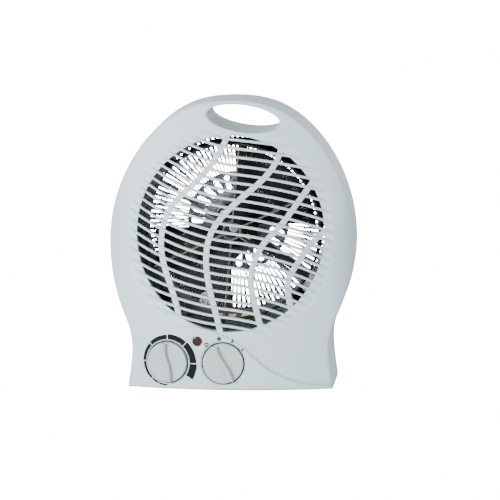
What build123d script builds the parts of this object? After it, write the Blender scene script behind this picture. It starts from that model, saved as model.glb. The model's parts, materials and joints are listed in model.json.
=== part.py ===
from build123d import *
import math
import os

os.makedirs("parts", exist_ok=True)

# A 2 kW upright fan heater.  Millimetres, Z up, the grille faces -Y,
# the origin lies on the floor under the middle of the casing.

# ---------------------------------------------------------------- casing
FRONT_Y = -62.5            # foremost point of the casing
REAR_Y = 62.5              # rearmost point of the casing
TOP_Z = 251.0              # top of the handle
BASE_Z = 0.0               # flat underside of the casing, with the rubber pads set flush in it
WALL = 2.5                 # moulded wall
PARTING_Y = 8.0            # joint between front and rear mouldings

FRONT_PLAN_R = 240.0       # bow of the front, seen from above
FRONT_SIDE_R = 667.0       # lean of the front, seen from the side
FRONT_MID_Z = 52.0         # height where the front is furthest forward
CHEEK_X = 86.0             # where the bow turns into the rounded cheek
CHEEK_R = 40.0
REAR_PLAN_R = 330.0
REAR_SIDE_R = 700.0
REAR_MID_Z = 60.0
REAR_CHEEK_X = 80.0
REAR_CHEEK_R = 42.0

# ---------------------------------------------------------------- grille
GRILLE_Z = 136.0
GRILLE_RX = 82.0
GRILLE_RZ = 84.8
DISH_DEPTH = 6.77          # how far the dished floor lies behind the dome at the middle
DISH_R = 375.0
LOUVRES = 23
LOUVRE_TOP = 81.6          # height of the top louvre over the grille centre
LOUVRE_PITCH = 7.33
LOUVRE_W = 2.0
LOUVRE_DEEP = 5.0
RIB_W = 5.0
RIB_BACK = 1.2             # ribs lie this far behind the louvre fronts

# ---------------------------------------------------------------- handle slot
SLOT_X = 10.5
SLOT_Z = 235.2
SLOT_A = 32.0
SLOT_B = 11.6
SLOT_TILT = -8.0
SLOT_WALL = 2.0

# ---------------------------------------------------------------- controls
KNOB_Z = 24.0
DIAL_X = -54.0             # thermostat knob
SWITCH_X = -5.0            # heat selector knob
KNOB_R = 17.7
POCKET_R = 18.8
LENS_X = -27.6
LENS_Z = 43.0
LENS_R = 4.3

POCKET_FLOOR = -6.0        # pocket floor under each knob, along the knob axis
FLOOR_T = 2.0

# ---------------------------------------------------------------- inside
AXIS = (0, GRILLE_Z)       # the motor, fan and element share this axis
DUCT_R = 76.0
DUCT_T = 2.0
DUCT_Y0 = -33.0
DUCT_Y1 = 24.0
BLADE_R = 71.0
SHAFT_R = 2.0
SPINDLE_R = 3.0
COIL_RADII = (42.0, 66.0)
COIL_R = 3.6
ELEMENT_Y0 = -31.0
ELEMENT_Y1 = -13.0

casing_screw_spots = ((-97, 112), (97, 112), (-58, 213), (58, 213), (-78, 13), (78, 13))
duct_screw_spots = tuple(
    (93 * math.cos(math.radians(a)), GRILLE_Z + 93 * math.sin(math.radians(a))) for a in (45, 135, 225, 315)
)
foot_spots = ((-68, -34), (68, -34), (-68, 38), (68, 38))
GLAND_X = 50.0
GLAND_Z = 24.0
GLAND_R = 6.5
CORD_BORE_R = 3.6
PAD_R = 7.0                # rubber pads in the underside
PAD_T = 1.0
PAD_STEM_R = 3.0


def front_point(x, z):
    """Point on the outside of the front dome, and its outward normal."""
    plan = FRONT_PLAN_R - math.sqrt(FRONT_PLAN_R ** 2 - x ** 2)
    ring = FRONT_SIDE_R - plan
    reach = math.sqrt(ring ** 2 - (z - FRONT_MID_Z) ** 2)
    point = Vector(x, FRONT_Y + FRONT_SIDE_R - reach, z)
    lean = math.asin((z - FRONT_MID_Z) / ring)
    turn = math.asin(x / FRONT_PLAN_R)
    normal = Vector(math.sin(turn), -math.cos(turn) * math.cos(lean), math.cos(turn) * math.sin(lean))
    return point, normal


def front_plane(x, z):
    """Plane lying on the front dome, looking outward, its Y axis upward."""
    point, normal = front_point(x, z)
    side = Vector(0, 0, 1).cross(normal).normalized()
    return Plane(origin=point, x_dir=side, z_dir=normal)


def turned(plane, degrees):
    """The same plane turned about its own axis."""
    return Plane(
        origin=plane.origin,
        x_dir=plane.x_dir.rotate(Axis(plane.origin, plane.z_dir), degrees),
        z_dir=plane.z_dir,
    )


def dome_space(face_y, plan_r, side_r, mid_z, cheek_x, cheek_r, inset):
    """Everything behind a domed face: a bowed plan with rounded cheeks, leaned back up and down."""
    facing = 1 if face_y < 0 else -1
    axis_y = face_y + facing * side_r
    tilt = math.asin(cheek_x / plan_r)
    plan = plan_r - inset
    cheek = cheek_r - inset
    far_y = axis_y + facing * (side_r - inset)
    near_y = axis_y + facing * (side_r - 220)
    join = (plan * math.sin(tilt), far_y - facing * plan * (1 - math.cos(tilt)))
    middle = (join[0] - cheek * math.sin(tilt), join[1] - facing * cheek * math.cos(tilt))
    half = (
        middle[0] + cheek * math.sin(math.radians(55)),
        middle[1] + facing * cheek * math.cos(math.radians(55)),
    )
    end = (middle[0] + cheek, middle[1])
    with BuildPart() as space:
        with BuildSketch(Plane.XY.offset(mid_z)):
            with BuildLine():
                ThreePointArc((-join[0], join[1]), (0, far_y), join)
                ThreePointArc(join, half, end)
                Line(end, (end[0], near_y))
                Line((end[0], near_y), (-end[0], near_y))
                Line((-end[0], near_y), (-end[0], end[1]))
                ThreePointArc((-end[0], end[1]), (-half[0], half[1]), (-join[0], join[1]))
            make_face()
        revolve(axis=Axis((0, axis_y, mid_z), (1, 0, 0)))
    return space.part


def front_space(inset):
    """Everything behind the front dome."""
    return dome_space(FRONT_Y, FRONT_PLAN_R, FRONT_SIDE_R, FRONT_MID_Z, CHEEK_X, CHEEK_R, inset)


def rear_space(inset):
    """Everything in front of the rear dome."""
    return dome_space(REAR_Y, REAR_PLAN_R, REAR_SIDE_R, REAR_MID_Z, REAR_CHEEK_X, REAR_CHEEK_R, inset)


def casing_form(inset):
    """Solid form of the casing, drawn in by the given amount and flared on past the floor before it is cut."""
    with BuildPart() as form:
        with BuildSketch(Plane.XZ.offset(-75)):
            with BuildLine():
                flank = Spline(
                    (0, TOP_Z - inset),
                    (45.2 - 0.4 * inset, 241.6 - 0.92 * inset),
                    (72.0 - 0.6 * inset, 220.0 - 0.8 * inset),
                    (90.0 - 0.75 * inset, 194.0 - 0.6 * inset),
                    (103.4 - 0.95 * inset, 160.0 - 0.3 * inset),
                    (107.5 - inset, 130.0),
                    (104.6 - inset, 99.0),
                    (96.8 - inset, 72.5),
                    (88.8 - inset, 53.0),
                    (86.3 - inset, 28.0),
                    (89.8 - inset, 1.0),
                    (95.0 - inset, -20.0),
                    tangents=((1, 0), (0.26, -1)),
                )
                Line(flank @ 1, (0, -20.0))
                mirror(about=Plane.YZ)
            make_face()
        extrude(amount=150)
        add(front_space(inset), mode=Mode.INTERSECT)
        add(rear_space(inset), mode=Mode.INTERSECT)
        split(bisect_by=Plane.XY.offset(BASE_Z + inset), keep=Keep.TOP)
    return form.part


def ellipse_bar(rx, rz, x, z, tilt, y0, y1):
    """Elliptical bar along Y."""
    with BuildPart() as bar:
        with BuildSketch(Plane.XZ.offset(-y1)):
            with Locations((x, z)):
                Ellipse(rx, rz, rotation=tilt)
        extrude(amount=y1 - y0)
    return bar.part


outer = casing_form(0)
inner = casing_form(WALL)
grille_centre = front_point(0, GRILLE_Z)[0]
grille_lean = math.degrees(math.asin((GRILLE_Z - FRONT_MID_Z) / FRONT_SIDE_R))
dial_plane = front_plane(DIAL_X, KNOB_Z)
switch_plane = front_plane(SWITCH_X, KNOB_Z)
lens_plane = front_plane(LENS_X, LENS_Z)

# ---------------------------------------------------------------- grille bars
# Everything in the grille follows the dome: a thin layer inside it carries the
# bars, deep over the opening and shallow where their ends run out on the face.
with BuildPart() as dome_layer:
    add(ellipse_bar(89.5, 94.0, 0, GRILLE_Z, 0, -80, -10))
    add(front_space(0), mode=Mode.INTERSECT)
    add(front_space(2.2), mode=Mode.SUBTRACT)
with BuildPart() as deep_layer:
    add(ellipse_bar(GRILLE_RX + 1.5, GRILLE_RZ + 1.5, 0, GRILLE_Z, 0, -80, -10))
    add(front_space(0), mode=Mode.INTERSECT)
    add(front_space(LOUVRE_DEEP), mode=Mode.SUBTRACT)
with BuildPart() as rib_layer:
    add(ellipse_bar(GRILLE_RX + 1.5, GRILLE_RZ + 1.5, 0, GRILLE_Z, 0, -80, -10))
    add(front_space(RIB_BACK), mode=Mode.INTERSECT)
    add(front_space(LOUVRE_DEEP - 0.6), mode=Mode.SUBTRACT)
with BuildPart() as collar:
    add(ellipse_bar(GRILLE_RX + 4, GRILLE_RZ + 4, 0, GRILLE_Z, 0, -80, -10))
    add(ellipse_bar(GRILLE_RX, GRILLE_RZ, 0, GRILLE_Z, 0, -80, -10), mode=Mode.SUBTRACT)
    add(front_space(1.9), mode=Mode.INTERSECT)
    add(front_space(10), mode=Mode.SUBTRACT)


def louvre_height(index, across):
    """Height of a louvre over the grille centre: an S-wave that fans out a little to both sides."""
    level = (LOUVRE_TOP - LOUVRE_PITCH * index) * (1 + 0.09 * (across / 70) ** 2)
    if across < 0:
        return level - 0.09 * across + 0.0036 * across ** 2
    return level - 0.09 * across - 0.0023 * across ** 2


def louvre_point(index, across, shift):
    """Point on an edge of a louvre, across from the middle of the grille."""
    return (across, GRILLE_Z + louvre_height(index, across) + shift)


with BuildPart() as louvres:
    with BuildSketch(Plane.XZ.offset(10)):
        for index in range(LOUVRES):
            with BuildLine():
                edges = []
                for shift in (-LOUVRE_W / 2, LOUVRE_W / 2):
                    stations = [louvre_point(index, across, shift) for across in (-96, -50, 0, 50, 96)]
                    left, near, mid, far, right = stations
                    ThreePointArc(left, near, mid)
                    ThreePointArc(mid, far, right)
                    edges.append((left, right))
                Line(edges[0][0], edges[1][0])
                Line(edges[0][1], edges[1][1])
            make_face()
    extrude(amount=70)
    add(dome_layer.part.fuse(deep_layer.part), mode=Mode.INTERSECT)

# Four S-shaped ribs, given as points across and above the grille centre.
rib_paths = (
    ((-2, 88), (-16, 61), (-32, 43), (-49, 26), (-58, 8), (-58.5, -23), (-52.5, -42.5), (-44, -74)),
    ((45, 80), (26, 45), (12, 33), (-5, 17), (-16, 1), (-20, -16), (-19, -37), (-7, -89)),
    ((76, 50), (54, 20.5), (42, 5), (30, -7.5), (22, -23), (19, -37), (21, -55), (28, -86)),
    ((90, 5), (66, -14.5), (58, -27), (52, -37), (51, -51), (56, -74)),
)
with BuildPart() as ribs:
    with BuildSketch(Plane.XZ.offset(10)):
        for path in rib_paths:
            with BuildLine() as curve:
                Spline([(x, GRILLE_Z + z) for x, z in path])
            trace(curve.line, RIB_W)
    extrude(amount=70)
    add(rib_layer.part, mode=Mode.INTERSECT)

# ---------------------------------------------------------------- front moulding
with BuildPart() as dish:
    lean_plane = Plane(
        origin=(0, grille_centre.Y, GRILLE_Z),
        x_dir=(1, 0, 0),
        z_dir=(0, -math.cos(math.radians(grille_lean)), math.sin(math.radians(grille_lean))),
    )
    with BuildSketch(lean_plane.offset(-30)):
        Ellipse(93, 98)
    extrude(amount=45)
    with BuildSketch(Plane(origin=(0, grille_centre.Y, GRILLE_Z), x_dir=(1, 0, 0), z_dir=lean_plane.y_dir)):
        with Locations((0, DISH_DEPTH + DISH_R)):
            Circle(DISH_R)
    extrude(amount=150, both=True, mode=Mode.SUBTRACT)

# The control panel is a raised flap of the same dome, swung out about a point
# near its left end so that its upper edge fades away to that side.
with BuildPart() as panel:
    with BuildSketch(Plane.XZ.offset(20)):
        with BuildLine():
            swoosh = Spline(
                (-92, 30), (-76, 42), (-60, 50.5), (-36.8, 55.6), (-8.8, 49.8),
                (8.7, 40.6), (26.1, 25.4), (43.6, 13.1), (61.1, 6.6), (84, 3.4), (120, 2.4),
            )
            Line(swoosh @ 1, (120, -10))
            Line((120, -10), (-92, -10))
            Line((-92, -10), swoosh @ 0)
        make_face()
    extrude(amount=60)
    add(outer, mode=Mode.INTERSECT)
    add(front_space(2.4), mode=Mode.SUBTRACT)
swung_panel = panel.part.rotate(Axis((-62, front_point(-62, 30)[0].Y, 0), (0, 0, 1)), -0.9)


def rod(radius, x, z, y0, y1):
    """Round bar along Y."""
    return ellipse_bar(radius, radius, x, z, 0, y0, y1)


def disc(plane, radius, z0, z1):
    """Round bar along a plane's own axis."""
    with BuildPart() as bar:
        with BuildSketch(plane.offset(z0)):
            Circle(radius)
        extrude(amount=z1 - z0)
    return bar.part


def rod_up(radius, x, y, z0, z1):
    """Round bar along Z."""
    return disc(Plane(origin=(x, y, 0)), radius, z0, z1)


slot_bar = ellipse_bar(SLOT_A, SLOT_B, SLOT_X, SLOT_Z, SLOT_TILT, -80, 80)
with BuildPart() as slot_sleeve:
    add(ellipse_bar(SLOT_A + SLOT_WALL, SLOT_B + SLOT_WALL, SLOT_X, SLOT_Z, SLOT_TILT, -80, 80))
    add(outer, mode=Mode.INTERSECT)
with BuildPart() as front_sleeve:
    add(slot_sleeve.part)
    split(bisect_by=Plane.XZ.offset(-PARTING_Y), keep=Keep.TOP)
with BuildPart() as rear_sleeve:
    add(slot_sleeve.part)
    split(bisect_by=Plane.XZ.offset(-PARTING_Y), keep=Keep.BOTTOM)

with BuildPart() as front_bosses:
    for x, z in casing_screw_spots:
        add(rod(4.2, x, z, -60, PARTING_Y - 1))
    for x, z in duct_screw_spots:
        add(rod(3.6, x, z, -60, -11))
    add(front_space(1.0), mode=Mode.INTERSECT)
with BuildPart() as knob_cups:
    add(disc(dial_plane, POCKET_R + 2, POCKET_FLOOR - FLOOR_T, 2))
    add(disc(switch_plane, POCKET_R + 2, POCKET_FLOOR - FLOOR_T, 2))
    add(front_space(0.3), mode=Mode.INTERSECT)

with BuildPart() as front_cuts:
    add(ellipse_bar(GRILLE_RX, GRILLE_RZ, 0, GRILLE_Z, 0, -80, -5))
    add(slot_bar)
    add(disc(dial_plane, POCKET_R, POCKET_FLOOR, 12))
    add(disc(dial_plane, 4.7, -12, 0))
    add(disc(switch_plane, POCKET_R, POCKET_FLOOR, 12))
    add(disc(switch_plane, 3.6, -12, 0))
    for side in (-1, 1):
        add(disc(switch_plane.shift_origin(switch_plane.from_local_coords((10 * side, 0, 0))), 1.6, -12, 0))
    add(disc(lens_plane, LENS_R + 0.05, -8, 8))
    for x, z in casing_screw_spots:
        add(rod(1.4, x, z, -12, PARTING_Y))
    for x, z in duct_screw_spots:
        add(rod(1.2, x, z, -24, -10))
    for x, y in foot_spots[:2]:
        add(rod_up(PAD_R, x, y, -1, PAD_T))
        add(rod_up(PAD_STEM_R + 0.05, x, y, 0, 6))

with BuildPart() as front_shell:
    add(outer)
    add(inner, mode=Mode.SUBTRACT)
    split(bisect_by=Plane.XZ.offset(-PARTING_Y), keep=Keep.TOP)
    add([front_bosses.part, front_sleeve.part, knob_cups.part, collar.part])
    add(dish.part, mode=Mode.SUBTRACT)
    add(swung_panel)
    add(front_cuts.part, mode=Mode.SUBTRACT)
    add(list(louvres.part.solids()) + list(ribs.part.solids()))

# ---------------------------------------------------------------- rear moulding
with BuildPart() as rear_towers:
    for x, z in casing_screw_spots:
        add(rod(5.4, x, z, PARTING_Y + 1, 70))
    add(rear_space(1.0), mode=Mode.INTERSECT)
with BuildPart() as rear_vents:
    with BuildSketch(Plane.XZ.offset(-75)):
        with Locations((0, GRILLE_Z)):
            with PolarLocations(62.0, 108):
                SlotOverall(34, 2.1)
            with PolarLocations(35.5, 24):
                SlotOverall(13, 5.0)
    extrude(amount=45)
with BuildPart() as rear_cuts:
    add(slot_bar)
    for x, z in casing_screw_spots:
        add(rod(1.8, x, z, 0, 80))
        add(rod(4.0, x, z, 14, 80))
    for x, y in foot_spots[2:]:
        add(rod_up(PAD_R, x, y, -1, PAD_T))
        add(rod_up(PAD_STEM_R + 0.05, x, y, 0, 6))
    add(rod(GLAND_R + 0.05, GLAND_X, GLAND_Z, 30, 80))

with BuildPart() as rear_shell:
    add(outer)
    add(inner, mode=Mode.SUBTRACT)
    split(bisect_by=Plane.XZ.offset(-PARTING_Y), keep=Keep.BOTTOM)
    add([rear_towers.part, rear_sleeve.part])
    add(rear_cuts.part, mode=Mode.SUBTRACT)
    add(rear_vents.part, mode=Mode.SUBTRACT)

with BuildPart() as rubber_feet:
    for x, y in foot_spots:
        with Locations((x, y, BASE_Z)):
            Cylinder(PAD_R, PAD_T, align=(Align.CENTER, Align.CENTER, Align.MIN))
            Cylinder(PAD_STEM_R, WALL + 2.1, align=(Align.CENTER, Align.CENTER, Align.MIN))
            with Locations((0, 0, WALL + 0.05)):
                Cone(4.2, 2.6, 2.1, align=(Align.CENTER, Align.CENTER, Align.MIN))
with BuildPart() as casing_screws:
    for x, z in casing_screw_spots:
        add(rod(1.35, x, z, -9, 14))
        add(rod(3.2, x, z, 14, 16.4))
    for x, z in casing_screw_spots:
        with Locations((x, 15.9, z)):
            Box(4.4, 1.2, 0.8, mode=Mode.SUBTRACT)
            Box(0.8, 1.2, 4.4, mode=Mode.SUBTRACT)

# ---------------------------------------------------------------- knobs
def knob(plane, pointer_deg):
    """Round knob with an S-shaped finger ridge, built on its own axis."""
    aligned = turned(plane, pointer_deg)
    with BuildPart() as body:
        with BuildSketch(aligned.offset(-2.8)):
            Circle(KNOB_R)
        extrude(amount=5.8)
        fillet(body.faces().sort_by(SortBy.AREA)[-2:].edges().filter_by(GeomType.CIRCLE), 0.9)
        with BuildSketch(aligned.offset(1.5)):
            with BuildLine() as sway:
                Spline((0.2, 17.0), (-1.2, 9.0), (0, 0), (1.2, -9.0), (-0.2, -17.0))
            trace(sway.line, 4.6)
        extrude(amount=6.0)
        crest = body.faces().filter_by(lambda f: aligned.to_local_coords(f.center()).Z > 7.4)
        fillet(crest.edges(), 1.9)
        with BuildSketch(aligned.offset(-3.4)):
            Circle(6.4)
        extrude(amount=1.0)
        with BuildSketch(aligned.offset(-3.4)):
            Circle(SPINDLE_R + 0.04)
        extrude(amount=4.6, mode=Mode.SUBTRACT)
    return body.part


with BuildPart() as thermostat_knob:
    add(knob(dial_plane, 6.0))
with BuildPart() as switch_knob:
    add(knob(switch_plane, 24.0))

# ---------------------------------------------------------------- indicator
with BuildPart() as neon_lens:
    add(disc(lens_plane, LENS_R, -4.0, 1.2))
    with BuildSketch(lens_plane.offset(-4.0)):
        Circle(LENS_R + 1.2)
    extrude(amount=-1.2)
    rims = neon_lens.edges().filter_by(GeomType.CIRCLE)
    fillet(rims.filter_by(lambda rim: lens_plane.to_local_coords(rim.center()).Z > 1), 1.0)
    with BuildSketch(lens_plane.offset(-5.2)):
        Circle(3.0)
    extrude(amount=4.0, mode=Mode.SUBTRACT)
with BuildPart() as neon_lamp:
    add(disc(lens_plane, 2.4, -16.0, -3.0))
    fillet(neon_lamp.edges().filter_by(GeomType.CIRCLE), 1.0)

# ---------------------------------------------------------------- thermostat
with BuildPart() as thermostat_spindle:
    add(disc(dial_plane, SPINDLE_R, -17.0, 1.0))
    with BuildSketch(dial_plane.offset(-3.3)):
        with Locations((0, 4.2)):
            Rectangle(8, 4)
    extrude(amount=5, mode=Mode.SUBTRACT)
with BuildPart() as thermostat_bushing:
    add(disc(dial_plane, 4.5, -15.0, -3.7))
    add(disc(dial_plane, SPINDLE_R + 0.05, -16.0, -3.0), mode=Mode.SUBTRACT)
with BuildPart() as thermostat_nut:
    with BuildSketch(dial_plane.offset(POCKET_FLOOR)):
        RegularPolygon(7.0, 6)
        Circle(4.52, mode=Mode.SUBTRACT)
    extrude(amount=2.0)
with BuildPart() as thermostat_frame:
    with BuildSketch(dial_plane.offset(-10.0)):
        Rectangle(20, 30)
        Circle(4.52, mode=Mode.SUBTRACT)
    extrude(amount=1.5)
    with BuildSketch(dial_plane.offset(-38.0)):
        with Locations((0, -14.25)):
            Rectangle(20, 1.5)
    extrude(amount=28.5)
with BuildPart() as thermostat_stack:
    with BuildSketch(dial_plane.offset(-19.0)):
        with Locations((0, -9)):
            Circle(4.0)
    extrude(amount=9.0)
    with BuildSketch(dial_plane.offset(-31.0)):
        with Locations((0, -9)):
            Circle(4.0)
    extrude(amount=4.6)
with BuildPart() as contact_blade:
    with BuildSketch(dial_plane.offset(-20.0)):
        with Locations((0, 1)):
            Rectangle(7, 27)
    extrude(amount=0.6)
    with BuildSketch(dial_plane.offset(-21.4)):
        with Locations((0, 11)):
            Circle(1.8)
    extrude(amount=1.4)
with BuildPart() as bimetal_strip:
    with BuildSketch(dial_plane.offset(-26.0)):
        with Locations((0, 1)):
            Rectangle(9, 27)
    extrude(amount=1.0)
    with BuildSketch(dial_plane.offset(-25.0)):
        with Locations((0, 11)):
            Circle(1.8)
    extrude(amount=1.4)
with BuildPart() as thermostat_tabs:
    for level in (-22.5, -28.6):
        with BuildSketch(dial_plane.offset(level)):
            with Locations((-10, -9)):
                Rectangle(12, 6.3)
        extrude(amount=0.8)

# ---------------------------------------------------------------- heat selector
with BuildPart() as switch_housing:
    with BuildSketch(switch_plane.offset(-32.0)):
        RectangleRounded(30, 26, 2.5)
    extrude(amount=23.9)
    with BuildSketch(switch_plane.offset(-28.0)):
        Circle(10.5)
    extrude(amount=14.0, mode=Mode.SUBTRACT)
    with BuildSketch(switch_plane.offset(-14.5)):
        Circle(SPINDLE_R + 0.05)
    extrude(amount=10.0, mode=Mode.SUBTRACT)
    with BuildSketch(switch_plane.offset(-20.0)):
        with Locations((-10, 0), (10, 0)):
            Circle(1.25)
    extrude(amount=14.0, mode=Mode.SUBTRACT)
with BuildPart() as switch_rotor:
    add(disc(switch_plane, SPINDLE_R, -16.0, 1.0))
    with BuildSketch(switch_plane.offset(-26.0)):
        Circle(7.6)
        with PolarLocations(7.6, 4):
            Circle(2.2)
    extrude(amount=10.5)
    with BuildSketch(switch_plane.offset(-3.3)):
        with Locations((0, 4.2)):
            Rectangle(8, 4)
    extrude(amount=5, mode=Mode.SUBTRACT)
with BuildPart() as switch_screws:
    for side in (-1, 1):
        spot = switch_plane.shift_origin(switch_plane.from_local_coords((10 * side, 0, 0)))
        add(disc(spot, 1.2, -15.0, POCKET_FLOOR))
        add(disc(spot, 2.8, POCKET_FLOOR, POCKET_FLOOR + 1.6))
with BuildPart() as switch_tabs:
    with BuildSketch(switch_plane.offset(-41.0)):
        with Locations((-9, 5), (-9, -5), (9, 5), (9, -5)):
            Rectangle(0.8, 6.3)
    extrude(amount=9.0)

# ---------------------------------------------------------------- air duct and motor carrier
with BuildPart() as air_duct:
    with BuildSketch(Plane.XZ.offset(-DUCT_Y1)):
        with Locations((0, GRILLE_Z)):
            Circle(DUCT_R + DUCT_T)
            Circle(DUCT_R, mode=Mode.SUBTRACT)
    extrude(amount=DUCT_Y1 - DUCT_Y0)
    with BuildSketch(Plane.XZ.offset(7)):
        with Locations((0, GRILLE_Z)):
            with PolarLocations(87, 4, start_angle=45):
                SlotOverall(26, 11)
            Circle(DUCT_R + 0.5, mode=Mode.SUBTRACT)
    extrude(amount=3.5)
    with BuildSketch(Plane.XZ.offset(-DUCT_Y1)):
        with Locations((0, GRILLE_Z)):
            with PolarLocations(46, 3, start_angle=85):
                Rectangle(64, 8)
            Circle(20)
            Circle(5, mode=Mode.SUBTRACT)
            with PolarLocations(15, 2, start_angle=135):
                Circle(1.6, mode=Mode.SUBTRACT)
    extrude(amount=3.0)
    for x, z in duct_screw_spots:
        add(rod(1.6, x, z, -12, -5), mode=Mode.SUBTRACT)
with BuildPart() as duct_screws:
    for x, z in duct_screw_spots:
        add(rod(1.15, x, z, -20, -6.9))
        add(rod(3.0, x, z, -6.9, -4.9))

# ---------------------------------------------------------------- motor
with BuildPart() as motor_front_bracket:
    with BuildSketch(Plane.XZ.offset(-28)):
        with Locations(AXIS):
            SlotOverall(42, 14, rotation=-45)
            Circle(10)
            Circle(SHAFT_R + 1.6, mode=Mode.SUBTRACT)
            with PolarLocations(15, 2, start_angle=135):
                Circle(1.6, mode=Mode.SUBTRACT)
    extrude(amount=3.9)
with BuildPart() as motor_rear_bracket:
    with BuildSketch(Plane.XZ.offset(-50)):
        with Locations(AXIS):
            SlotOverall(42, 14, rotation=-45)
            Circle(10)
            Circle(SHAFT_R + 1.6, mode=Mode.SUBTRACT)
            with PolarLocations(15, 2, start_angle=135):
                Circle(1.6, mode=Mode.SUBTRACT)
    extrude(amount=4.0)
with BuildPart() as motor_bearings:
    for y in (28, 50):
        with BuildSketch(Plane.XZ.offset(-y)):
            with Locations(AXIS):
                Circle(SHAFT_R + 1.58)
                Circle(SHAFT_R + 0.03, mode=Mode.SUBTRACT)
        extrude(amount=4.0)
with BuildPart() as motor_stator:
    with BuildSketch(Plane.XZ.offset(-45)):
        with Locations(Location((0, GRILLE_Z, 0), (0, 0, -45))):
            with Locations((0, -7)):
                Rectangle(44, 58)
            with Locations((0, -25)):
                Rectangle(26, 12, mode=Mode.SUBTRACT)
            Circle(12.5, mode=Mode.SUBTRACT)
            with Locations((-15, 0), (15, 0)):
                Circle(1.6, mode=Mode.SUBTRACT)
    extrude(amount=15)
with BuildPart() as motor_screws:
    for a in (135, 315):
        x = 15 * math.cos(math.radians(a))
        z = GRILLE_Z + 15 * math.sin(math.radians(a))
        add(rod(1.4, x, z, 20.9, 52))
        add(rod(2.8, x, z, 19.0, 20.9))
        add(rod(2.6, x, z, 50.1, 52))
with BuildPart() as motor_spacers:
    for a in (135, 315):
        x = 15 * math.cos(math.radians(a))
        z = GRILLE_Z + 15 * math.sin(math.radians(a))
        for y0, y1 in ((28.1, 29.9), (45.1, 45.9)):
            add(rod(3.0, x, z, y0, y1))
            add(rod(1.6, x, z, y0 - 1, y1 + 1), mode=Mode.SUBTRACT)
leg_plane = turned(Plane(origin=(0, 37.5, GRILLE_Z), x_dir=(1, 0, 0), z_dir=(0, -1, 0)), -45)
with BuildPart() as winding_bobbin:
    with BuildSketch(leg_plane.offset(0)):
        with Locations((0, -33.5)):
            Rectangle(25, 7.5)
    extrude(amount=9.5, both=True)
    with BuildSketch(leg_plane):
        with Locations((0, -33.5)):
            Rectangle(27, 5.2)
    extrude(amount=7.6, both=True, mode=Mode.SUBTRACT)
with BuildPart() as motor_winding:
    with BuildSketch(leg_plane):
        with Locations((0, -33.5)):
            Rectangle(21, 15)
    extrude(amount=12.5, both=True)
    fillet(motor_winding.edges(), 1.5)
    with BuildSketch(leg_plane):
        with Locations((0, -33.5)):
            Rectangle(27, 7.7)
    extrude(amount=9.6, both=True, mode=Mode.SUBTRACT)
with BuildPart() as motor_rotor:
    add(rod(12.1, 0, GRILLE_Z, 31, 44))
    add(rod(SHAFT_R, 0, GRILLE_Z, 20, 60), mode=Mode.SUBTRACT)
with BuildPart() as motor_shaft:
    add(rod(SHAFT_R, 0, GRILLE_Z, -3, 52))
    add(rod(SHAFT_R - 0.5, 0, GRILLE_Z, 51.9, 52.5))

# ---------------------------------------------------------------- fan
def blade_section(radius, chord, pitch_deg, camber):
    """Curved blade section, standing across a spoke at the given radius."""
    level = turned(Plane(origin=(radius, 7, GRILLE_Z), x_dir=(0, 0, 1), z_dir=(1, 0, 0)), pitch_deg)
    with BuildSketch(level) as section:
        with BuildLine():
            upper = ThreePointArc((-chord / 2, 0), (0, camber + 0.8), (chord / 2, 0))
            ThreePointArc(upper @ 1, (0, camber - 0.8), upper @ 0)
        make_face()
    return section.sketch


# Radius, chord, pitch and camber of the blade at its root, middle and tip.
blade_stations = ((7, 13, 42, 1.5), (38, 74, 17, 4), (76, 150, 8.5, 5))
with BuildPart() as blade_blank:
    loft([blade_section(*station).faces()[0] for station in blade_stations])
    add(rod(BLADE_R, 0, GRILLE_Z, -8, 22), mode=Mode.INTERSECT)
with BuildPart() as fan_impeller:
    with BuildSketch(Plane.XZ.offset(-17)):
        with Locations(AXIS):
            Circle(11)
    extrude(amount=19)
    fillet(fan_impeller.faces().sort_by(Axis.Y)[0].edges(), 2)
    for a in (-45, 135):
        add(blade_blank.part.rotate(Axis((0, 0, GRILLE_Z), (0, 1, 0)), a))
    add(rod(8.5, 0, GRILLE_Z, 4, 20), mode=Mode.SUBTRACT)
    with BuildSketch(Plane.XZ.offset(-17)):
        with Locations(AXIS):
            Circle(4.5)
    extrude(amount=14)
    add(rod(SHAFT_R, 0, GRILLE_Z, -10, 20), mode=Mode.SUBTRACT)
with BuildPart() as impeller_clip:
    add(rod(4.0, 0, GRILLE_Z, -2.9, -2.1))
    add(rod(SHAFT_R, 0, GRILLE_Z, -4, 0), mode=Mode.SUBTRACT)

# ---------------------------------------------------------------- heating element
with BuildPart() as coil_paths:
    for radius in COIL_RADII:
        with Locations(Location((0, (ELEMENT_Y0 + ELEMENT_Y1) / 2, GRILLE_Z), (90, 0, 0))):
            Torus(radius, COIL_R + 0.3)
with BuildPart() as mica_frame:
    with BuildSketch(Plane.XZ.offset(-ELEMENT_Y1)):
        with Locations(AXIS):
            Circle(8)
            with PolarLocations(40, 6, start_angle=25):
                Rectangle(69, 1.0)
            Circle(6.6, mode=Mode.SUBTRACT)
    extrude(amount=ELEMENT_Y1 - ELEMENT_Y0)
    add(coil_paths.part, mode=Mode.SUBTRACT)
middle_y = (ELEMENT_Y0 + ELEMENT_Y1) / 2
with BuildPart() as inner_coil:
    with Locations(Location((0, middle_y, GRILLE_Z), (90, 0, 0))):
        Torus(COIL_RADII[0], COIL_R)
with BuildPart() as outer_coil:
    with Locations(Location((0, middle_y, GRILLE_Z), (90, 0, 0))):
        Torus(COIL_RADII[1], COIL_R)
with BuildPart() as element_tabs:
    for turn in (-9, 0, 9):
        with Locations(Location((0, middle_y, GRILLE_Z), (0, turn, 0))):
            with Locations((0, 0, -(DUCT_R - 0.65))):
                Box(6.3, 14, 0.8)
with BuildPart() as thermal_cutout:
    with BuildSketch(Plane.XZ.offset(10)):
        with Locations((-24, GRILLE_Z - 62)):
            Circle(6)
    extrude(amount=-3.0)
with BuildPart() as thermal_fuse:
    add(rod(1.9, 26, GRILLE_Z - 56, -11.5, -8.5))

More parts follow.
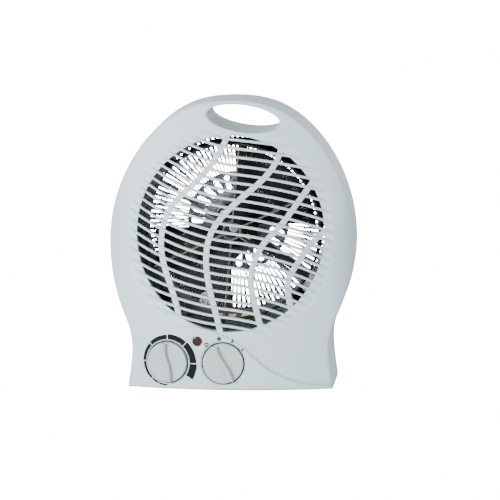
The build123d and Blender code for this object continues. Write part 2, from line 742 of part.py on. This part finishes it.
# ---------------------------------------------------------------- supply inlet
with BuildPart() as cord_gland:
    add(rod(GLAND_R, GLAND_X, GLAND_Z, 44, 62))
    add(rod(9.0, GLAND_X, GLAND_Z, 59.3, 62.3))
    add(rod(8.2, GLAND_X, GLAND_Z, 49.5, 52.6))
    add(rod(CORD_BORE_R, GLAND_X, GLAND_Z, 40, 64), mode=Mode.SUBTRACT)
with BuildPart() as cord_clamp:
    with Locations((GLAND_X, 36, GLAND_Z + 4.6)):
        Box(20, 8, 2)
with BuildPart() as clamp_posts:
    for side in (-1, 1):
        with Locations((GLAND_X + 7.5 * side, 36, BASE_Z + WALL)):
            Cylinder(2.6, GLAND_Z + 3.6 - BASE_Z - WALL, align=(Align.CENTER, Align.CENTER, Align.MIN))
with BuildPart() as clamp_screws:
    for side in (-1, 1):
        with Locations((GLAND_X + 7.5 * side, 36, GLAND_Z + 5.6)):
            Cylinder(2.4, 1.8, align=(Align.CENTER, Align.CENTER, Align.MIN))
with BuildPart() as terminal_block:
    with Locations((18, 38, BASE_Z + WALL)):
        Box(34, 16, 13, align=(Align.CENTER, Align.CENTER, Align.MIN))
    with Locations((18, 38, 11)):
        with GridLocations(11, 1, 3, 1):
            Box(6, 20, 5, mode=Mode.SUBTRACT)
with BuildPart() as terminal_screws:
    with Locations((18, 38, 8.6)):
        with GridLocations(11, 1, 3, 1):
            Cylinder(2.4, 2.4, align=(Align.CENTER, Align.CENTER, Align.MIN))

# ---------------------------------------------------------------- pieces
pieces = (
    (front_shell, "front_shell", "front shell"),
    (rear_shell, "rear_shell", "rear shell"),
    (rubber_feet, "rubber_feet", "rubber feet"),
    (casing_screws, "casing_screws", "casing screws"),
    (thermostat_knob, "thermostat_knob", "thermostat knob"),
    (switch_knob, "switch_knob", "switch knob"),
    (neon_lens, "neon_lens", "neon lens"),
    (neon_lamp, "neon_lamp", "neon lamp"),
    (thermostat_spindle, "thermostat_spindle", "thermostat spindle"),
    (thermostat_bushing, "thermostat_bushing", "thermostat bushing"),
    (thermostat_nut, "thermostat_nut", "thermostat nut"),
    (thermostat_frame, "thermostat_frame", "thermostat frame"),
    (thermostat_stack, "thermostat_stack", "thermostat stack"),
    (contact_blade, "contact_blade", "contact blade"),
    (bimetal_strip, "bimetal_strip", "bimetal strip"),
    (thermostat_tabs, "thermostat_tabs", "thermostat tabs"),
    (switch_housing, "switch_housing", "switch housing"),
    (switch_rotor, "switch_rotor", "switch rotor"),
    (switch_screws, "switch_screws", "switch screws"),
    (switch_tabs, "switch_tabs", "switch tabs"),
    (air_duct, "air_duct", "air duct"),
    (duct_screws, "duct_screws", "duct screws"),
    (motor_front_bracket, "motor_front_bracket", "motor front bracket"),
    (motor_rear_bracket, "motor_rear_bracket", "motor rear bracket"),
    (motor_bearings, "motor_bearings", "motor bearings"),
    (motor_stator, "motor_stator", "motor stator"),
    (motor_screws, "motor_screws", "motor screws"),
    (motor_spacers, "motor_spacers", "motor spacers"),
    (winding_bobbin, "winding_bobbin", "winding bobbin"),
    (motor_winding, "motor_winding", "motor winding"),
    (motor_rotor, "motor_rotor", "motor rotor"),
    (motor_shaft, "motor_shaft", "motor shaft"),
    (fan_impeller, "fan_impeller", "fan impeller"),
    (impeller_clip, "impeller_clip", "impeller clip"),
    (mica_frame, "mica_frame", "mica frame"),
    (inner_coil, "inner_coil", "inner coil"),
    (outer_coil, "outer_coil", "outer coil"),
    (element_tabs, "element_tabs", "element tabs"),
    (thermal_cutout, "thermal_cutout", "thermal cutout"),
    (thermal_fuse, "thermal_fuse", "thermal fuse"),
    (cord_gland, "cord_gland", "cord gland"),
    (cord_clamp, "cord_clamp", "cord clamp"),
    (clamp_posts, "clamp_posts", "clamp posts"),
    (clamp_screws, "clamp_screws", "clamp screws"),
    (terminal_block, "terminal_block", "terminal block"),
    (terminal_screws, "terminal_screws", "terminal screws"),
)
for piece, name, label in pieces:
    solid = piece.part.fix()
    solid.label = label
    export_step(solid, "parts/" + name + ".step")
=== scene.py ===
import json
import math

import bpy
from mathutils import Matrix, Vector
from mathutils.bvhtree import BVHTree


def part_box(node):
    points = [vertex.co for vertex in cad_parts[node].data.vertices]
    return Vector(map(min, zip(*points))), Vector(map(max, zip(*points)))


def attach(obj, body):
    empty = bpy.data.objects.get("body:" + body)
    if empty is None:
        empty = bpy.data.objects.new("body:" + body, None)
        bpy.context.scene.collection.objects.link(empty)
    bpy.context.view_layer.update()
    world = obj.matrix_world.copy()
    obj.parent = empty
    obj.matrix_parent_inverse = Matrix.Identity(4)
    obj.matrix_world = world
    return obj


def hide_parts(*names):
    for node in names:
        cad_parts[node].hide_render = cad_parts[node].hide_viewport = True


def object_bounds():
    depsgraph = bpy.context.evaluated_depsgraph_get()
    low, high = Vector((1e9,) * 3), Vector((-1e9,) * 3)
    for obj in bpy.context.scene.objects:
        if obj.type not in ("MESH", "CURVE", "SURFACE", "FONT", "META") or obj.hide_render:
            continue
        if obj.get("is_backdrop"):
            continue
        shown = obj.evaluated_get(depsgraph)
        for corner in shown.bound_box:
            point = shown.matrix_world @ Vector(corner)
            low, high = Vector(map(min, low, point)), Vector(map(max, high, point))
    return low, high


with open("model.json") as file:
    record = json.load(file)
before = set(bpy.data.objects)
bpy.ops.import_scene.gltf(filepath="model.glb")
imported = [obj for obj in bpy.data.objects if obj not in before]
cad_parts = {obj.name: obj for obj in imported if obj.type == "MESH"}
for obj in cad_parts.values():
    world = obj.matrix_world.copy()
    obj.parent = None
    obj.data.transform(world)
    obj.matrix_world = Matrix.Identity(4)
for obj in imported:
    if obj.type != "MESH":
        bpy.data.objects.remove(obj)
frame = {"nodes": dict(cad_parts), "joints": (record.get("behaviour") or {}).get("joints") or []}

nodes = frame["nodes"]
joints = {joint["name"]: joint for joint in frame["joints"]}
MM = 0.001


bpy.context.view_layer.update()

# ---------------------------------------------------------------- materials
CLOUD_DETAIL = 6.0
GRAIN_DETAIL = 4.0
CLOUD_RANGE = (0.3, 0.7)    # where the colour clouds turn from dark to light
SPECK_RANGE = (0.35, 0.6)   # where the fine specks fade out
SPECK_DARK = 0.78
SPECK_WEIGHT = 0.35
ROUGH_SPREAD = 0.08
LEAST_ROUGH = 0.03
RELIEF_STRENGTH = 0.5
BEVEL_SAMPLES = 6


def noise(tree, mapping, scale, detail):
    """A noise texture read through a mapping."""
    node = tree.nodes.new("ShaderNodeTexNoise")
    node.inputs["Scale"].default_value = scale
    node.inputs["Detail"].default_value = detail
    tree.links.new(mapping.outputs["Vector"], node.inputs["Vector"])
    return node


def colour_ramp(tree, places, first, last):
    """A ramp from one colour to another between two places."""
    ramp = tree.nodes.new("ShaderNodeValToRGB")
    ramp.color_ramp.elements[0].position = places[0]
    ramp.color_ramp.elements[0].color = (*first, 1)
    ramp.color_ramp.elements[1].position = places[1]
    ramp.color_ramp.elements[1].color = (*last, 1)
    return ramp


def material(name, colour, rough=0.5, metal=0.0, vary=0.06, grain=900.0, bump=0.02, bevel=0.0006,
             spec=0.4, streak=(1.0, 1.0, 1.0), coat=0.0, transmission=0.0, cloud=14.0):
    """Procedural surface: colour clouding, fine grain in roughness and relief, softened edges."""
    made = bpy.data.materials.new(name)
    made.use_nodes = True
    tree = made.node_tree
    bsdf = tree.nodes["Principled BSDF"]
    coords = tree.nodes.new("ShaderNodeTexCoord")
    mapping = tree.nodes.new("ShaderNodeMapping")
    mapping.inputs["Scale"].default_value = streak
    tree.links.new(coords.outputs["Object"], mapping.inputs["Vector"])
    clouds = noise(tree, mapping, cloud, CLOUD_DETAIL)
    fine = noise(tree, mapping, grain, GRAIN_DETAIL)

    dark = [c * (1 - vary) for c in colour]
    light = [min(1.0, c * (1 + vary)) for c in colour]
    tint = colour_ramp(tree, CLOUD_RANGE, dark, light)
    tree.links.new(clouds.outputs["Fac"], tint.inputs["Fac"])
    grey = colour_ramp(tree, SPECK_RANGE, (SPECK_DARK, SPECK_DARK, SPECK_DARK), (1, 1, 1))
    tree.links.new(fine.outputs["Fac"], grey.inputs["Fac"])
    speck = tree.nodes.new("ShaderNodeMix")
    speck.data_type = "RGBA"
    speck.blend_type = "MULTIPLY"
    speck.inputs["Factor"].default_value = SPECK_WEIGHT
    tree.links.new(tint.outputs["Color"], speck.inputs["A"])
    tree.links.new(grey.outputs["Color"], speck.inputs["B"])
    tree.links.new(speck.outputs["Result"], bsdf.inputs["Base Color"])

    spread = tree.nodes.new("ShaderNodeMapRange")
    spread.inputs["To Min"].default_value = max(LEAST_ROUGH, rough - ROUGH_SPREAD)
    spread.inputs["To Max"].default_value = min(1.0, rough + ROUGH_SPREAD)
    tree.links.new(fine.outputs["Fac"], spread.inputs["Value"])
    tree.links.new(spread.outputs["Result"], bsdf.inputs["Roughness"])

    relief = tree.nodes.new("ShaderNodeBump")
    relief.inputs["Strength"].default_value = RELIEF_STRENGTH
    relief.inputs["Distance"].default_value = bump * MM
    tree.links.new(fine.outputs["Fac"], relief.inputs["Height"])
    if bevel:
        soft = tree.nodes.new("ShaderNodeBevel")
        soft.samples = BEVEL_SAMPLES
        soft.inputs["Radius"].default_value = bevel
        tree.links.new(soft.outputs["Normal"], relief.inputs["Normal"])
    tree.links.new(relief.outputs["Normal"], bsdf.inputs["Normal"])

    bsdf.inputs["Metallic"].default_value = metal
    bsdf.inputs["Specular IOR Level"].default_value = spec
    bsdf.inputs["Coat Weight"].default_value = coat
    bsdf.inputs["Transmission Weight"].default_value = transmission
    return made


CASING_BLUE = (0.42, 0.525, 0.575)
casing = material("casing_plastic", CASING_BLUE, rough=0.45, vary=0.015, grain=1400,
                  bump=0.05, bevel=0.0016)
knob_grey = material("knob_plastic", (0.34, 0.40, 0.405), rough=0.36, vary=0.015, grain=1600,
                     bump=0.03, bevel=0.0006)
black = material("black_plastic", (0.012, 0.012, 0.013), rough=0.5, vary=0.2, grain=1200,
                 bump=0.04, bevel=0.0005, spec=0.15)
dark_duct = material("duct_plastic", (0.014, 0.014, 0.015), rough=0.55, vary=0.25, grain=900,
                     bump=0.05, spec=0.15)
rubber = material("rubber", (0.02, 0.02, 0.02), rough=0.8, vary=0.2, grain=700, bump=0.06)
zinc = material("zinc_steel", (0.55, 0.56, 0.58), rough=0.35, metal=1.0, vary=0.12, grain=800,
                bump=0.01, bevel=0.0002)
laminated = material("laminated_steel", (0.10, 0.10, 0.105), rough=0.5, metal=0.8, vary=0.2, grain=300,
                     bump=0.15, streak=(0.05, 12.0, 0.05))
brass = material("brass", (0.70, 0.50, 0.22), rough=0.3, metal=1.0, vary=0.1, grain=700,
                 bump=0.01, bevel=0.0002)
copper = material("copper_winding", (0.50, 0.18, 0.07), rough=0.35, metal=0.7, vary=0.2, grain=500,
                  bump=0.25, streak=(0.2, 8.0, 0.2))
nylon = material("nylon", (0.72, 0.71, 0.66), rough=0.5, vary=0.04, grain=900)
ceramic = material("steatite", (0.70, 0.67, 0.60), rough=0.7, vary=0.06, grain=600, bump=0.05)
mica = material("mica_board", (0.16, 0.14, 0.115), rough=0.55, vary=0.35, grain=500, bump=0.08, cloud=60)
wire = material("resistance_wire", (0.20, 0.19, 0.18), rough=0.4, metal=0.9, vary=0.2, grain=900, bevel=0)
aluminium = material("aluminium", (0.60, 0.60, 0.61), rough=0.4, metal=1.0, vary=0.1, grain=500, bump=0.05)
bimetal = material("bimetal", (0.50, 0.46, 0.40), rough=0.35, metal=1.0, vary=0.1, grain=600)
lamp_glass = material("lamp_glass", (0.9, 0.55, 0.35), rough=0.1, vary=0.03, transmission=0.7, bevel=0)
ink = material("dial_ink", (0.008, 0.010, 0.009), rough=0.75, vary=0.15, grain=1500,
               bump=0.01, bevel=0, spec=0.03)
lens_red = material("lens_red", (0.03, 0.002, 0.002), rough=0.16, vary=0.2, grain=500, bump=0.03,
                    coat=0.25, spec=0.25, bevel=0.0004, cloud=120)

# Pieces that are not in this list are zinc-plated steel.
looks = {
    "front_shell": casing, "rear_shell": casing,
    "thermostat_knob": knob_grey, "switch_knob": knob_grey,
    "rubber_feet": rubber, "cord_gland": rubber,
    "fan_impeller": black, "air_duct": dark_duct, "switch_housing": black, "switch_rotor": black,
    "motor_stator": laminated, "motor_rotor": aluminium, "motor_winding": copper,
    "winding_bobbin": nylon, "cord_clamp": nylon, "clamp_posts": nylon, "terminal_block": nylon,
    "thermostat_stack": ceramic, "bimetal_strip": bimetal, "mica_frame": mica,
    "neon_lens": lens_red, "neon_lamp": lamp_glass,
    "thermostat_spindle": brass, "thermostat_bushing": brass, "thermostat_tabs": brass,
    "switch_tabs": brass, "element_tabs": brass, "motor_bearings": brass, "contact_blade": brass,
    "inner_coil": wire, "outer_coil": wire,
}
for name, obj in nodes.items():
    obj.data.materials.clear()
    obj.data.materials.append(looks.get(name, zinc))

# ---------------------------------------------------------------- helpers
SEARCH_FROM = 0.02          # the moulding is looked for from this far in front of a knob's centre
SEARCH_LENGTH = 0.05
INK_LIFT = 0.0002           # the ink lies this far off the moulding

shell = nodes["front_shell"]
shell_tree = BVHTree.FromPolygons([v.co.copy() for v in shell.data.vertices],
                                  [tuple(p.vertices) for p in shell.data.polygons])


def new_piece(name, verts, faces, look, body):
    """A piece that exists only in the visual model."""
    mesh = bpy.data.meshes.new(name)
    mesh.from_pydata(verts, [], faces)
    mesh.materials.append(look)
    obj = bpy.data.objects.new(name, mesh)
    bpy.context.scene.collection.objects.link(obj)
    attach(obj, body)


def on_panel(centre, out, across, up, u, v):
    """A point of a printed mark, laid on the moulding round a knob."""
    flat = centre + across * u + up * v
    hit = shell_tree.ray_cast(flat + out * SEARCH_FROM, -out, SEARCH_LENGTH)[0]
    if hit is None:
        hit = flat
    return hit + out * INK_LIFT


def dial_frame(joint_name):
    """A knob's centre and its outward, sideways and upward directions."""
    joint = joints[joint_name]
    out = -Vector(joint["axis"]).normalized()
    across = Vector((0, 0, 1)).cross(out).normalized()
    up = out.cross(across)
    return Vector(joint["pos_m"]), out, across, up


def print_patch(name, joint_name, grid, look):
    """A patch of ink from a grid of (u, v) points in millimetres round a knob's axis."""
    centre, out, across, up = dial_frame(joint_name)
    verts = []
    for row in grid:
        for u, v in row:
            verts.append(on_panel(centre, out, across, up, u * MM, v * MM))
    wide = len(grid[0])
    faces = [(i * wide + k, i * wide + k + 1, (i + 1) * wide + k + 1, (i + 1) * wide + k)
             for i in range(len(grid) - 1) for k in range(wide - 1)]
    new_piece(name, verts, faces, look, "casing")


def clock(degrees, radius):
    """Point at a clock angle, degrees clockwise from the top."""
    return (radius * math.sin(math.radians(degrees)), radius * math.cos(math.radians(degrees)))


# ---------------------------------------------------------------- thermostat scale
# Seven arcs that grow wider clockwise: start angle, end angle and outer radius at the start.
SCALE_ARCS = (
    (180.5, 223, 21.2), (225.5, 269, 21.8), (271.5, 313.5, 22.5), (315.5, 358.2, 23.4),
    (360.8, 403, 24.4), (405.2, 451, 25.4), (453, 484, 26.4),
)
SCALE_INNER_R = 20.0
SCALE_WIDENS = 0.5          # growth of the outer radius along one arc
SCALE_STEPS = 16
SCALE_ROWS = 4

for number, (start, end, start_r) in enumerate(SCALE_ARCS):
    grid = []
    for i in range(SCALE_STEPS + 1):
        angle = start + (end - start) * i / SCALE_STEPS
        outer_r = start_r + SCALE_WIDENS * i / SCALE_STEPS
        grid.append([clock(angle, SCALE_INNER_R + (outer_r - SCALE_INNER_R) * k / SCALE_ROWS)
                     for k in range(SCALE_ROWS + 1)])
    print_patch("dial_print_%d" % (number + 1), "thermostat_turn", grid, ink)

# ---------------------------------------------------------------- selector marks
# Off, fan, low heat and full heat.
MARK_R = 21.8               # distance of the two round marks from the knob's axis
BAR_R = 21.2                # distance of the two bars
BAR_HALF_LENGTH = 1.6
BAR_HALF_WIDTH = 0.8


def round_mark(middle, steps, inner_r, outer_r, lobe=0.0):
    """Grid of a ring round a point, with four lobes of the given height on its outer edge."""
    grid = []
    for i in range(steps + 1):
        angle = 2 * math.pi * i / steps
        edge_r = outer_r + lobe * math.cos(4 * angle)
        grid.append([(middle[0] + r * math.cos(angle), middle[1] + r * math.sin(angle))
                     for r in (inner_r, edge_r)])
    return grid


print_patch("mark_off", "switch_turn", round_mark(clock(-42, MARK_R), 24, 1.0, 2.0), ink)
print_patch("mark_fan", "switch_turn", round_mark(clock(-9, MARK_R), 36, 0.35, 1.75, lobe=0.4), ink)
for name, bar_at in (("mark_low", 22), ("mark_full", 54.5)):
    middle = clock(bar_at, BAR_R)
    along = Vector(clock(bar_at, 1.0))
    side = Vector((along.y, -along.x))
    grid = []
    for s in (-BAR_HALF_LENGTH, 0, BAR_HALF_LENGTH):
        grid.append([(middle[0] + along.x * s + side.x * t, middle[1] + along.y * s + side.y * t)
                     for t in (-BAR_HALF_WIDTH, BAR_HALF_WIDTH)])
    print_patch(name, "switch_turn", grid, ink)

# ---------------------------------------------------------------- the pockets under the knobs get painted shade
POCKET_R = 0.01892
POCKET_FROM = -0.0065       # along the knob's axis, from below the pocket's floor
POCKET_TO = 0.002           # to above its rim

# Near-black painted shade on the pocket's walls and floor, standing in for the shadow in the gap round each
# knob.
pocket_painted_shade = material("pocket_painted_shade", (0.008, 0.009, 0.009), rough=0.75, vary=0.15, grain=900,
                        bump=0.05, bevel=0, spec=0.03)
shell.data.materials.append(pocket_painted_shade)
pocket_shade_index = len(shell.data.materials) - 1
# Faces inside each knob's pocket take the painted shade.
for joint_name in ("thermostat_turn", "switch_turn"):
    knob_centre, out = dial_frame(joint_name)[:2]
    for face in shell.data.polygons:
        offset = face.center - knob_centre
        depth = offset.dot(out)
        if POCKET_FROM < depth < POCKET_TO and (offset - out * depth).length < POCKET_R:
            face.material_index = pocket_shade_index

# ---------------------------------------------------------------- softer edges away from the grilles
EDGE_FROM_AXIS = 0.094      # faces of the two shells further than this from the fan's axis

casing_edge = material("casing_plastic_edge", CASING_BLUE, rough=0.45, vary=0.015, grain=1400,
                       bump=0.05, bevel=0.0055)
fan_axis = Vector(joints["fan_spin"]["pos_m"])
for name in ("front_shell", "rear_shell"):
    mesh = nodes[name].data
    mesh.materials.append(casing_edge)
    edge_index = len(mesh.materials) - 1
    for face in mesh.polygons:
        sideways = face.center.x - fan_axis.x
        height = face.center.z - fan_axis.z
        if face.material_index == 0 and math.hypot(sideways, height) > EDGE_FROM_AXIS:
            face.material_index = edge_index

# ---------------------------------------------------------------- heating coils: wire wound round each ring
WIRE_R = 0.0004
POINTS_PER_TURN = 12

for name, pitch in (("inner_coil", 4.2), ("outer_coil", 4.6)):
    coil_low, coil_high = (Vector(corner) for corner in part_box(name))
    middle = (coil_low + coil_high) / 2
    coil_r = (coil_high.y - coil_low.y) / 2 - WIRE_R
    ring_r = (coil_high.x - coil_low.x) / 2 - (coil_high.y - coil_low.y) / 2
    turns = int(2 * math.pi * ring_r / (pitch * MM))
    points = turns * POINTS_PER_TURN
    curve = bpy.data.curves.new(name + "_wire", "CURVE")
    curve.dimensions = "3D"
    curve.bevel_depth = WIRE_R
    curve.bevel_resolution = 2
    line = curve.splines.new("POLY")
    line.points.add(points - 1)
    for i in range(points):
        ring_angle = 2 * math.pi * i / points
        coil_angle = 2 * math.pi * i / POINTS_PER_TURN
        r = ring_r + coil_r * math.cos(coil_angle)
        line.points[i].co = (middle.x + r * math.cos(ring_angle), middle.y + coil_r * math.sin(coil_angle),
                             middle.z + r * math.sin(ring_angle), 1)
    line.use_cyclic_u = True
    curve.materials.append(wire)
    obj = bpy.data.objects.new(name + "_wire", curve)
    bpy.context.scene.collection.objects.link(obj)
    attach(obj, "casing")
    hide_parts(name)

# ---------------------------------------------------------------- studio
ROOM_LIGHT = 2.9
BACKDROP_LIGHT = 25.0
PAPER_GLOW = 22.0
FLOOR_HALF = 8.0            # half the side of the paper sheet
SKY_RANGE = (0.0, 0.75)     # from the horizon up, where the room's light falls off
SKY_OVERHEAD = (0.16, 0.165, 0.17)
WHITE = (1, 1, 1)

low, high = (Vector(v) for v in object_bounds())
centre = (low + high) / 2

# The floor: a wide sheet of white paper, lifted to white where the camera looks at it.
corners = [(FLOOR_HALF * x, FLOOR_HALF * y, low.z) for x, y in ((-1, -1), (1, -1), (1, 1), (-1, 1))]
floor_mesh = bpy.data.meshes.new("studio_floor")
floor_mesh.from_pydata(corners, [], [(0, 1, 2, 3)])
floor = bpy.data.objects.new("studio_floor", floor_mesh)
bpy.context.scene.collection.objects.link(floor)
paper = material("studio_paper", (0.85, 0.86, 0.86), rough=0.85, vary=0.004, grain=60, bump=0.02,
                 bevel=0, spec=0.1, cloud=2)
paper_nodes = paper.node_tree.nodes
paper_surface = paper_nodes["Principled BSDF"]
view_path = paper_nodes.new("ShaderNodeLightPath")
glow = paper_nodes.new("ShaderNodeMath")
glow.operation = "MULTIPLY"
glow.inputs[1].default_value = PAPER_GLOW
paper.node_tree.links.new(view_path.outputs["Is Camera Ray"], glow.inputs[0])
paper.node_tree.links.new(glow.outputs["Value"], paper_surface.inputs["Emission Strength"])
paper_surface.inputs["Emission Color"].default_value = (*WHITE, 1)
floor.data.materials.append(paper)
floor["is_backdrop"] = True

# The room: light from the horizon that falls off overhead, and plain white where the camera sees it.
world = bpy.context.scene.world or bpy.data.worlds.new("studio")
bpy.context.scene.world = world
world.use_nodes = True
sky = world.node_tree.nodes
links = world.node_tree.links
sky_coords = sky.new("ShaderNodeTexCoord")
sky_axes = sky.new("ShaderNodeSeparateXYZ")
sky_ramp = colour_ramp(world.node_tree, SKY_RANGE, WHITE, SKY_OVERHEAD)
links.new(sky_coords.outputs["Generated"], sky_axes.inputs["Vector"])
links.new(sky_axes.outputs["Z"], sky_ramp.inputs["Fac"])
links.new(sky_ramp.outputs["Color"], sky["Background"].inputs["Color"])
sky["Background"].inputs["Strength"].default_value = ROOM_LIGHT
backdrop = sky.new("ShaderNodeBackground")
backdrop.inputs["Color"].default_value = (*WHITE, 1)
backdrop.inputs["Strength"].default_value = BACKDROP_LIGHT
seen = sky.new("ShaderNodeLightPath")
blend = sky.new("ShaderNodeMixShader")
links.new(seen.outputs["Is Camera Ray"], blend.inputs["Fac"])
links.new(sky["Background"].outputs["Background"], blend.inputs[1])
links.new(backdrop.outputs["Background"], blend.inputs[2])
links.new(blend.outputs["Shader"], sky["World Output"].inputs["Surface"])


def soft_light(name, place, power, size, target):
    """A square area light that faces the target."""
    data = bpy.data.lights.new(name, "AREA")
    data.energy = power
    data.size = size
    obj = bpy.data.objects.new(name, data)
    obj.location = place
    obj.rotation_euler = (Vector(target) - Vector(place)).to_track_quat("-Z", "Y").to_euler()
    bpy.context.scene.collection.objects.link(obj)
    obj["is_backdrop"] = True


soft_light("key", (-1.2, -1.9, 0.55), 95, 0.7, centre)
soft_light("fill", (0.6, -2.2, 0.2), 8, 1.0, centre)

# ---------------------------------------------------------------- camera
# A long lens, a little to the right of the front and a little above it.
AZIMUTH = math.radians(4.0)
ELEVATION = math.radians(6.8)
DISTANCE = 4.0
SENSOR_WIDTH = 36
VIEW_WIDTH = 0.433          # width that the picture takes in at the heater
AIM_RIGHT = 0.0189
AIM_DOWN = 0.0012

toward = Vector((
    math.sin(AZIMUTH) * math.cos(ELEVATION),
    -math.cos(AZIMUTH) * math.cos(ELEVATION),
    math.sin(ELEVATION),
))
right = Vector((math.cos(AZIMUTH), math.sin(AZIMUTH), 0))
upward = right.cross(-toward)
aim = Vector((centre.x, low.y, centre.z)) + right * AIM_RIGHT - upward * AIM_DOWN
camera_data = bpy.data.cameras.new("camera")
camera_data.sensor_width = SENSOR_WIDTH
camera_data.lens = SENSOR_WIDTH * DISTANCE / VIEW_WIDTH
camera_data.dof.use_dof = False
camera = bpy.data.objects.new("camera", camera_data)
camera.location = aim + toward * DISTANCE
camera.rotation_euler = (-toward).to_track_quat("-Z", "Y").to_euler()
bpy.context.scene.collection.objects.link(camera)
bpy.context.scene.camera = camera
